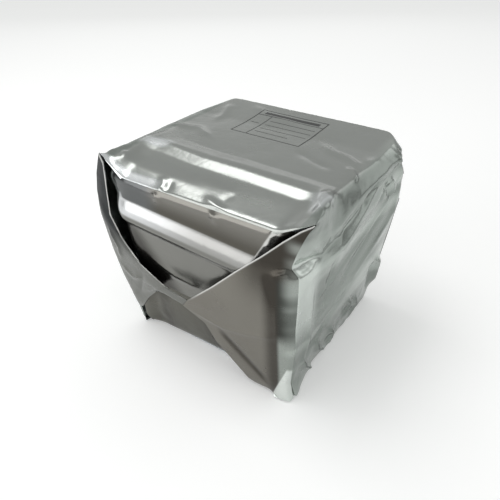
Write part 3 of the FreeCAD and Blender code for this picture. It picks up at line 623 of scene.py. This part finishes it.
def crumples(x, y, z, on_top, on_end, on_back, on_floor):
    """Loose film: low on the ends, on the back, at the top's corners and at the mouth's peaks."""
    low = 1 - smooth_step(z, 0.01, 0.07)
    corner = smooth_step(np.abs(x), 0.112, 0.130) * smooth_step(z, 0.20, 0.24)
    corner *= np.where((x < 0) & (y > -0.04), 0.3, 1.0)
    mouth = 1 - smooth_step(y, -0.118, -0.09)
    girth = np.where(on_top + on_floor > 0.5, x, np.sign(x) * (0.13 + box_top - z))
    coarse = lattice_noise(girth / 0.052, y / 0.062, 3.0)
    middle = lattice_noise(girth / 0.022, (y + x * on_back) / 0.026, 7.0)
    fine = lattice_noise(girth / 0.010, (y + x * on_back) / 0.011, 11.0)
    loose = np.clip(on_end * (0.25 + 0.75 * low) + 0.5 * on_back + 0.7 * corner
                    + 0.5 * mouth * on_end, 0, 1) * (1 - on_floor)
    crisp = np.clip(low * on_end + corner + 0.5 * on_back, 0, 1) * (1 - on_floor)
    peak_left = np.exp(-((x + 0.133) ** 2 + (y + 0.104) ** 2) / 0.017 ** 2) * (z > 0.2)
    peak_right = np.exp(-((x - 0.130) ** 2 + (y + 0.078) ** 2) / 0.012 ** 2) * (z > 0.2)
    return (loose * (0.0032 * coarse + 0.0020 * middle * (0.4 + 0.6 * low))
            + 0.0010 * fine * crisp
            + (0.0065 * middle + 0.0030 * fine) * (peak_left + 0.6 * peak_right)
            + on_top * (0.0005 * coarse + 0.0001 * middle))


def tube_creases(points, normals):
    """All the tube's relief along its normals."""
    x, y, z = points.T
    on_top = smooth_step(normals[:, 2], 0.5, 0.85)
    on_end = smooth_step(np.abs(normals[:, 0]), 0.45, 0.8)
    on_back = smooth_step(normals[:, 1], 0.5, 0.85)
    on_floor = smooth_step(-normals[:, 2], 0.5, 0.85)
    return (drawn_folds(x, y, z, on_top, on_end, on_back) + ridge_relief(x, y) * on_top
            + crumples(x, y, z, on_top, on_end, on_back, on_floor))


bag_tube = make_sheet("bag_film", int(round_counts.sum()), int(along_counts.sum()), tube_place,
                      outer_film, passes=6, crease=tube_creases)
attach(bag_tube, "bag")
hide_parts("bag_tube")


# Front panel. Above the folded ears the tube's upper film is drawn in over the cover's front: down
# the cover, over the ledge of its skirt and on down the base, and round both front corners. It is
# stretched tight there by the vacuum, and its left part stands out beyond a leaning step.

step_lean = 0.54
step_depth = 0.0046
step_edge = (-0.0230, -0.0165)
tilt = 0.055
tilt_heights = (0.090, 0.150, 0.200, 0.2225)
tilt_left, tilt_right = -0.110, 0.075
ledge_low = (0.1745, 0.1790)
ledge_high = (0.1935, 0.1965)
panel_share = 0.96
# The panel's painted colours: shade on the cover's face and below the ledge, highlights on the ledge,
# step and bend, and the ears' shade
wall_low, wall_high = (0.085, 0.080, 0.068, 1), (0.190, 0.184, 0.168, 1)
wall_left, below_ledge = (0.112, 0.117, 0.119, 1), (0.205, 0.205, 0.190, 1)
ledge_highlight_left, ledge_highlight_right = (0.62, 0.63, 0.64, 1), (0.33, 0.33, 0.32, 1)
step_highlight, bend_highlight = (0.66, 0.66, 0.64, 1), (0.62, 0.64, 0.66, 1)
ear_shade = (0.035, 0.032, 0.028, 1)


def panel_tone(x, y, z):
    """Painted shade, deeper down the cover's face and bluer at its left, painted highlights on the
    ledge, along the leaning step and on a bend, and the painted shade of both ears.
    """
    start, full, fading, gone = tilt_heights
    tilted = z.band(start, full) * (1 - z.band(fading, gone))
    height = z + x.maths("MINIMUM", x, tilt_right) * tilt * tilted
    run = x - z * step_lean
    lean = x + height * 0.50
    right = run.band(-0.0165, -0.0120)
    left = (1 - (x + height * 0.75).band(0.012, 0.045)) * (1 - height.band(0.166, 0.178))
    face = height.band(*ledge_high)
    ledge = height.band(*ledge_low) * (1 - face)
    strip = run.band(-0.0245, -0.0220) * (1 - right) * face
    bend = lean.band(-0.0280, -0.0220) * (1 - lean.band(-0.0170, -0.0090)) * face
    far = (1 - lean.band(-0.0300, -0.0250)) * height.band(0.178, 0.190)

    # Painted shade: the cover's face darker low down and bluer at its left
    wall = height.band(0.198, 0.222).mix(wall_low, wall_high)
    wall = (1 - x.band(-0.075, -0.046)).mix(wall, wall_left)
    # Painted highlights on the ledge, along the leaning step and on a bend
    silver = x.band(-0.105, 0.020).mix(ledge_highlight_left, ledge_highlight_right)
    colour = ledge.mix(face.mix(below_ledge, wall), silver)
    colour = bend.mix(strip.mix(colour, step_highlight), bend_highlight)
    # Painted shade beyond the step and in the shadow of both ears
    shade = right + left + far
    shade = shade.maths("MINIMUM", shade * 0.85, 0.88)
    return shade.mix(colour, ear_shade), Wire(x.tree, panel_share)


# The front panel's film: the same laminate as the tube in a darker copy, painted shade
front_film = barrier_film("front_film", (0.235, 0.230, 0.213, 1), (0.20, 0.195, 0.18, 1), 0.17,
                          panel_tone)

# How far the panel stands off the cover's face, and the height, from its top edge down
panel_profile = ((-0.0008, 0.2265), (0.0012, 0.2225), (0.0010, 0.2150), (0.0006, 0.2010),
                 (0.0014, 0.1945), (0.0062, 0.1835), (0.0072, 0.1790), (0.0068, 0.1700),
                 (0.0030, 0.1655), (0.0008, 0.1600), (-0.0028, 0.1300), (-0.0060, 0.1050),
                 (-0.0085, 0.0860))
panel_steps = np.array((3, 4, 8, 4, 6, 3, 5, 4, 4, 14, 12, 9))
panel_columns = 170
panel_reach = 0.175
cover_front = 0.1164
corner_radius = 0.0259
corner_x = 0.0990
off_cover = 0.0008
flange_z, panel_end_z = 0.168, 0.086
base_draft = 0.03
wing_out = 0.016


def along_profile(profile, share, steps):
    """A profile's two values at a share of its steps."""
    j, t = between_keys(share, steps)
    profile = np.array(profile)
    return profile[j].T * (1 - t) + profile[j + 1].T * t


def panel_place(side_share, down_share):
    """The panel round both corners, with its leaning step, tilted ledge and left wing."""
    out, z = along_profile(panel_profile, 1 - down_share, panel_steps)
    run = (side_share * 2 - 1) * panel_reach
    arc = np.clip((np.abs(run) - corner_x) / corner_radius, 0, math.pi / 2)
    straight = np.maximum(np.abs(run) - corner_x - corner_radius * math.pi / 2, 0)
    radius = corner_radius + off_cover + out
    x = np.sign(run) * (np.minimum(np.abs(run), corner_x) + radius * np.sin(arc))
    y = -(cover_front - corner_radius) - radius * np.cos(arc) + straight
    x *= 1 - base_draft * np.clip((flange_z - z) / (flange_z - panel_end_z), 0, 1)
    y -= step_depth * (1 - smooth_step(x - step_lean * z, *step_edge))
    wing = smooth_step(-x, 0.098, 0.127) * smooth_step(z, 0.176, 0.215)
    wing *= 1 - smooth_step(y, -0.106, -0.084)
    z = z - np.interp(z, tilt_heights, (0, tilt, tilt, 0)) * np.clip(x, tilt_left, tilt_right)
    return np.stack([x - wing_out * wing, y, z], 1)


panel_folds = (
    (((-0.110, 0.224), (-0.060, 0.220), (0.000, 0.221), (0.060, 0.2215), (0.100, 0.220)), 0.0010, 0.003),
    (((-0.056, 0.223), (-0.048, 0.2165), (-0.056, 0.212)), 0.0022, 0.0030),
    (((0.022, 0.223), (0.034, 0.2165), (0.026, 0.213)), 0.0022, 0.0030),
    (((-0.080, 0.128), (-0.040, 0.112), (0.000, 0.108)), 0.0018, 0.005),
    (((0.090, 0.215), (0.098, 0.200), (0.100, 0.180)), 0.0018, 0.004),
)


def panel_creases(points, normals):
    """Puckers under the top edge, and looser film below the ledge."""
    x, _, z = points.T
    low = 1 - smooth_step(z, 0.13, 0.165)
    lift = folds(np.stack([x, z], 1), panel_folds)
    lift += 0.0010 * lattice_noise(x / 0.055, z / 0.03, 5.0) * (0.25 + 0.5 * low)
    return lift + 0.0004 * lattice_noise(x / 0.024, z / 0.02, 9.0) * low


front_panel = make_sheet("front_panel", panel_columns, int(panel_steps.sum()), panel_place, front_film,
                         passes=5, crease=panel_creases)
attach(front_panel, "bag")
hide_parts("bag_front_panel")


# Front ears. Where the mouth is folded down, each corner of the tube folds in over the front as
# a flat ear of several plies. Its fold runs from the peak down to the meeting point, with a
# painted highlight along it.

ear_corner_lean = 0.36
# Painted colours of the ears: deep shade, a green reflection tint and a facet highlight
ear_shade_deep, side_shade_deep = (0.040, 0.035, 0.029, 1), (0.024, 0.026, 0.029, 1)
green_near, green_far = (0.036, 0.039, 0.035, 1), (0.160, 0.178, 0.164, 1)
green_low, facet_highlight = (0.330, 0.360, 0.335, 1), (0.74, 0.78, 0.75, 1)


def ear_tone(x, y, z):
    """Painted shade, deep towards the top of the fold, along the corner and in a fold by the lower
    edge; a greener painted reflection tint beyond the corner, where the film comes round from the
    end, paler low down; and a painted highlight on the lower corner's facet."""
    low = 1 - z.band(0.174, 0.186)
    corner = x.band(0.090, 0.106) * low * 0.78
    beyond = x.band(0.109, 0.115) * low * 0.95
    upper = z.band(0.125, 0.200) * x.band(0.035, 0.095) * 0.95
    slope = x * 0.661 + z * 0.750
    fold = slope.band(0.0700, 0.0765) * (1 - slope.band(0.0795, 0.0860))
    fold = fold * x.band(0.028, 0.044) * (1 - x.band(0.088, 0.100)) * 0.7
    facet = (x - z * ear_corner_lean).band(0.1020, 0.1040)
    facet = facet * (1 - (z + (x - 0.124) * 0.9).band(0.046, 0.052))
    green = x.band(0.113, 0.132).mix(green_near, green_far)
    green = (1 - z.band(0.085, 0.108)).mix(green, green_low)
    colour = facet.mix(beyond.mix(ear_shade_deep, green), facet_highlight)
    share = corner + upper + fold + beyond + facet
    return colour, share.maths("MINIMUM", share, 0.94)


def side_tone(x, y, z):
    """Painted shade: the left ear is deeper and bluer towards its top."""
    return side_shade_deep, z.band(0.105, 0.165) * 0.90


# The ears' films: the same laminate in darker copies, painted shade, the right ear's browner
fold_film = barrier_film("fold_film", (0.205, 0.196, 0.173, 1), (0.180, 0.170, 0.150, 1), 0.20,
                         ear_tone)
side_film = barrier_film("side_film", (0.170, 0.173, 0.160, 1), (0.145, 0.148, 0.136, 1), 0.20,
                         side_tone)

ear_folds = (
    (((-0.002, 0.088), (0.040, 0.082), (0.073, 0.088), (0.101, 0.096), (0.124, 0.108)), 0.0013, 0.0036),
    (((0.036, 0.073), (0.060, 0.052), (0.094, 0.021)), -0.0014, 0.0050),
    (((0.104, 0.180), (0.124, 0.192)), 0.0016, 0.0026),
    (((-0.140, 0.150), (-0.128, 0.126), (-0.132, 0.106)), 0.0022, 0.0034),
    (((-0.134, 0.092), (-0.112, 0.084), (-0.094, 0.092)), 0.0016, 0.0034),
    (((-0.090, 0.072), (-0.066, 0.088), (-0.044, 0.100)), 0.0013, 0.0034),
    (((-0.118, 0.050), (-0.104, 0.064), (-0.086, 0.104)), -0.0013, 0.0045),
)
ear_wall = 0.0011
ear_bow = 0.002
ear_rows, ear_columns = 120, 72
flare_depth, flare_height = 0.0075, 0.058


def resample(corners, count):
    """Evenly spaced points along a line of corners."""
    corners = np.array(corners)
    at = np.linspace(0, 1, count)
    return np.stack([np.interp(at, run_along(corners), corners[:, k]) for k in range(3)], 1)


def ear_sheet(name, outer, inner, round_width, round_depth, seed, material):
    """A folded ear between its outer fold and its inner edge, both drawn as points in space."""
    outer_line = resample(outer, ear_rows + 1)
    inner_line = resample(inner, ear_rows + 1)

    def place(across, along):
        j = np.rint(along * ear_rows).astype(int)
        s = across[:, None]
        points = outer_line[j] * (1 - s) + inner_line[j] * s
        points[:, 1] -= ear_bow * 4 * across * (1 - across) * np.sin(np.pi * along)
        away = np.abs(points[:, 0] - outer_line[j][:, 0])
        turn = np.sqrt(1 - (1 - np.clip(away / round_width, 0, 1)) ** 2)
        fade = smooth_step(along, 0.0, 0.06) * (1 - smooth_step(along, 0.70, 0.80))
        points[:, 1] -= round_depth * turn * (1 - across) * fade
        # The right ear's lower corner flares off the box
        x, _, z = points.T
        flare = smooth_step(x - ear_corner_lean * z, 0.1000, 0.1070)
        flare *= (1 - np.clip(z / flare_height, 0, 1)) * smooth_step(across, 0.0, 0.05)
        points[:, 1] -= flare_depth * flare
        return points

    def crease(points, normals):
        x, _, z = points.T
        lift = 0.0013 * lattice_noise(x / 0.060, z / 0.085, seed)
        lift += 0.0003 * lattice_noise(x / 0.022, z / 0.03, seed + 2)
        lift += folds(np.stack([x, z], 1), ear_folds)
        return lift * np.sign(-normals[:, 1])

    return make_sheet(name, ear_columns, ear_rows, place, material, passes=4, crease=crease,
                      wall=ear_wall, rim=inner)


right_outer = ((0.1275, -0.1116, 0.0015), (0.1235, -0.1134, 0.026), (0.1280, -0.1160, 0.072),
               (0.1287, -0.1184, 0.112), (0.1315, -0.1220, 0.168), (0.1318, -0.1232, 0.184),
               (0.1285, -0.1236, 0.188), (0.1232, -0.1238, 0.192), (0.1242, -0.1241, 0.198),
               (0.1286, -0.1244, 0.212), (0.1347, -0.1244, 0.228), (0.1400, -0.1243, 0.240),
               (0.1450, -0.1238, 0.2485))
right_inner = ((0.1180, -0.1150, 0.0020), (0.0950, -0.1180, 0.0035), (0.0780, -0.1200, 0.0050),
               (0.0690, -0.1212, 0.0080), (0.0490, -0.1245, 0.029), (0.0270, -0.1280, 0.051),
               (0.0140, -0.1305, 0.075), (-0.0156, -0.1340, 0.0905), (-0.0076, -0.1345, 0.102),
               (0.0290, -0.1335, 0.137), (0.0640, -0.1315, 0.173), (0.0910, -0.1295, 0.199),
               (0.1150, -0.1275, 0.224), (0.1320, -0.1255, 0.240), (0.1445, -0.1240, 0.2490))
left_outer = ((-0.1190, -0.1085, 0.022), (-0.1222, -0.1100, 0.026), (-0.1412, -0.1120, 0.072),
              (-0.1522, -0.1145, 0.112), (-0.1562, -0.1200, 0.168), (-0.1542, -0.1215, 0.197),
              (-0.1490, -0.1212, 0.222), (-0.1400, -0.1205, 0.2480))
left_inner = ((-0.1150, -0.1100, 0.026), (-0.1080, -0.1130, 0.035), (-0.0900, -0.1190, 0.059),
              (-0.0670, -0.1250, 0.083), (-0.0420, -0.1295, 0.0905), (-0.0166, -0.1335, 0.0905),
              (-0.0086, -0.1345, 0.1015), (-0.0350, -0.1310, 0.1015), (-0.0570, -0.1290, 0.106),
              (-0.0890, -0.1260, 0.117), (-0.1190, -0.1235, 0.143), (-0.1340, -0.1232, 0.171),
              (-0.1335, -0.1230, 0.205), (-0.1320, -0.1225, 0.238), (-0.1395, -0.1210, 0.2485))

ear_right = ear_sheet("ear_right", right_outer, right_inner, 0.020, 0.0075, 1.7, fold_film)
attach(ear_right, "ear_right")
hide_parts("bag_ear_right")

ear_left = ear_sheet("ear_left", left_outer, left_inner, 0.012, 0.0030, 4.2, side_film)
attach(ear_left, "ear_left")
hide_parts("bag_ear_left")


# Tail and seal. Below the ears the flap with the heat seal folds down over the front of the base
# and is tucked under the box, where the flat, crimped seal strip ends it.

tail_shade = (0.050, 0.048, 0.040, 1)


def tail_tone(x, y, z):
    """Painted shade, deeper in an upright fold, on its right half and towards its top, where both ears
    shade it.
    """
    fold = x.band(-0.086, -0.074) * (1 - x.band(-0.072, -0.052)) * 0.55
    share = fold + x.band(-0.030, 0.020) * 0.65 + z.band(0.060, 0.095) * 0.35
    return tail_shade, share.maths("MINIMUM", share, 0.8)


# The tail's film: the same laminate in a darker copy, painted shade
tail_film = barrier_film("tail_film", (0.140, 0.138, 0.120, 1), (0.115, 0.112, 0.098, 1), 0.20,
                         tail_tone)

# The flap as (y, z) from its top down and under the box, and its two side edges as (z, x)
tail_profile = ((-0.1100, 0.0985), (-0.1085, 0.0800), (-0.1045, 0.0400), (-0.1010, 0.0090),
                (-0.0990, 0.0022), (-0.0930, 0.0003), (-0.0750, 0.0003))
tail_steps = np.array((8, 16, 12, 5, 4, 8))
tail_left = ((0.0, -0.104), (0.012, -0.112), (0.058, -0.111), (0.084, -0.060), (0.0985, -0.020))
tail_right = ((0.0, 0.104), (0.008, 0.104), (0.0985, 0.010))
tail_columns = 90
tail_bulge, tail_turn, tail_lift = 0.004, 0.006, 0.003


def tail_place(side_share, down_share):
    """The flap between its edges, bulging in its middle and turned forward at its left."""
    y, z = along_profile(tail_profile, 1 - down_share, tail_steps)
    left = np.interp(z, *np.array(tail_left).T)
    right = np.interp(z, *np.array(tail_right).T)
    x = left + (right - left) * side_share
    bulge = np.sin(np.pi * side_share) * np.sin(np.pi * np.clip(z / 0.09, 0, 1))
    turned = smooth_step(-x, 0.085, 0.112) * (z > 0.002)
    lifted = smooth_step(x, -0.09, -0.01) * (1 - smooth_step(z, 0.0, 0.03))
    return np.stack([x, y - tail_bulge * bulge - tail_turn * turned, z + tail_lift * lifted], 1)


def tail_creases(points, normals):
    """Shallow dents, fading out where the flap lies under the box."""
    x, _, z = points.T
    lift = 0.0026 * lattice_noise(x / 0.036, z / 0.06, 6.0)
    lift += 0.0006 * lattice_noise(x / 0.016, z / 0.022, 8.0)
    return lift * smooth_step(z, 0.004, 0.02)


tail = make_sheet("tail_panel", tail_columns, int(tail_steps.sum()), tail_place, tail_film,
                  passes=4, crease=tail_creases)
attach(tail, "bag")
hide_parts("bag_tail_panel")

seal_half = 0.100
seal_front, seal_back = -0.0740, -0.0600
seal_height = 0.00045
seal_columns, seal_rows = 40, 56
rib_height, rib_pitch = 0.00012, 0.0016


def seal_place(across, along):
    """The flat strip, just above the table."""
    return np.stack([(across * 2 - 1) * seal_half, seal_front + (seal_back - seal_front) * along,
                     np.full(len(across), seal_height)], 1)


def seal_ribs(points, normals):
    """The crimp bar's ribs, pressed in along the seal."""
    return rib_height * np.sin(points[:, 1] * 2 * np.pi / rib_pitch) * np.sign(normals[:, 2])


seal = make_sheet("seal_strip", seal_columns, seal_rows, seal_place, outer_film,
                  crease=seal_ribs)
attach(seal, "bag")
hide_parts("bag_seal_strip")


# Rear ears. The bag's shut end is folded flat, and its two triangular dog ears, each of two plies
# of the same film, lie against the back.

rear_ear_top, rear_ear_foot, rear_ear_point = (0.138, 0.166), (0.1185, 0.024), (0.050, 0.095)
back_foot, back_draft = 0.1160, 0.008 / 0.168
rear_ear_columns, rear_ear_rows = 40, 60
rear_ear_swell, rear_ear_wall = 0.0008, 0.0008


def rear_ear(name, side):
    """A triangle from its outer edge to its point, given as (x, z) on the sloping back."""
    def place(across, along):
        x, z = ((top * along + foot * (1 - along)) * (1 - across) + point * across
                for top, foot, point in zip(rear_ear_top, rear_ear_foot, rear_ear_point))
        y = back_foot + back_draft * z
        return np.stack([side * x, y + rear_ear_swell * np.sin(np.pi * along), z], 1)

    def crease(points, normals):
        x, _, z = points.T
        dents = lattice_noise(x / 0.03, z / 0.035, 2.0 + side) + 0.5
        return 0.0016 * dents * np.sign(normals[:, 1])

    return make_sheet(name, rear_ear_columns, rear_ear_rows, place, outer_film, passes=2,
                      crease=crease, wall=rear_ear_wall)


for name, side in (("rear_ear_right", 1), ("rear_ear_left", -1)):
    ear = rear_ear(name, side)
    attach(ear, "bag")
    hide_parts("bag_" + name)


# Box inside. The base and cover are injection moulded in natural polypropylene, cloudy and faintly
# blue, with flow lines from their gates. They show once the bag and the cover have been lifted off.

def moulded(name, node_names, colour, shade, roughness, grain_scale, relief, clear=0.0):
    """Moulded plastic or rubber: cloudy colour, fine spark-eroded grain and faint flow lines."""
    material, maths, shader, place = new_material(name)
    cloud = noise(maths, place, 9, 3, 0.5).band(0.3, 0.75)
    flow = noise(maths, place, 30, 3, 0.5, (1.0, 1.0, 0.12))
    grain = noise(maths, place, grain_scale, 2, 0.6)
    scuffs = noise(maths, place, 130, 4, 0.7, (1.0, 0.25, 0.25)).band(0.60, 0.72)
    feed(maths, shader, Base_Color=(cloud * 0.8).mix(colour, shade),
         Roughness=roughness + grain * 0.10 + scuffs * 0.12, Transmission_Weight=clear, IOR=1.49)
    bump(maths, shader, grain * 0.6 + flow * 0.5 + scuffs * 0.1, 0.25, relief)
    for node_name in node_names:
        for slot in nodes[node_name].material_slots:
            slot.material = material


moulded("cloudy_polypropylene", ("base_shell", "cover_shell"), (0.78, 0.83, 0.86, 1),
        (0.70, 0.77, 0.82, 1), 0.30, 420, 0.0006, 0.35)


# Carrier, cushion, latches and seal. The carrier and its comb are moulded in opaque white
# polypropylene and the latches in blue. The seal is a black rubber ring, let into the rim.

moulded("white_polypropylene", ("cassette", "wafer_cushion"), (0.84, 0.85, 0.84, 1),
        (0.78, 0.79, 0.79, 1), 0.42, 520, 0.0005)
moulded("blue_plastic", ("latch_left", "latch_right"), (0.13, 0.27, 0.50, 1),
        (0.10, 0.22, 0.43, 1), 0.34, 480, 0.0005)
moulded("seal_rubber", ("rim_gasket",), (0.030, 0.030, 0.033, 1), (0.045, 0.045, 0.048, 1),
        0.55, 600, 0.0006)
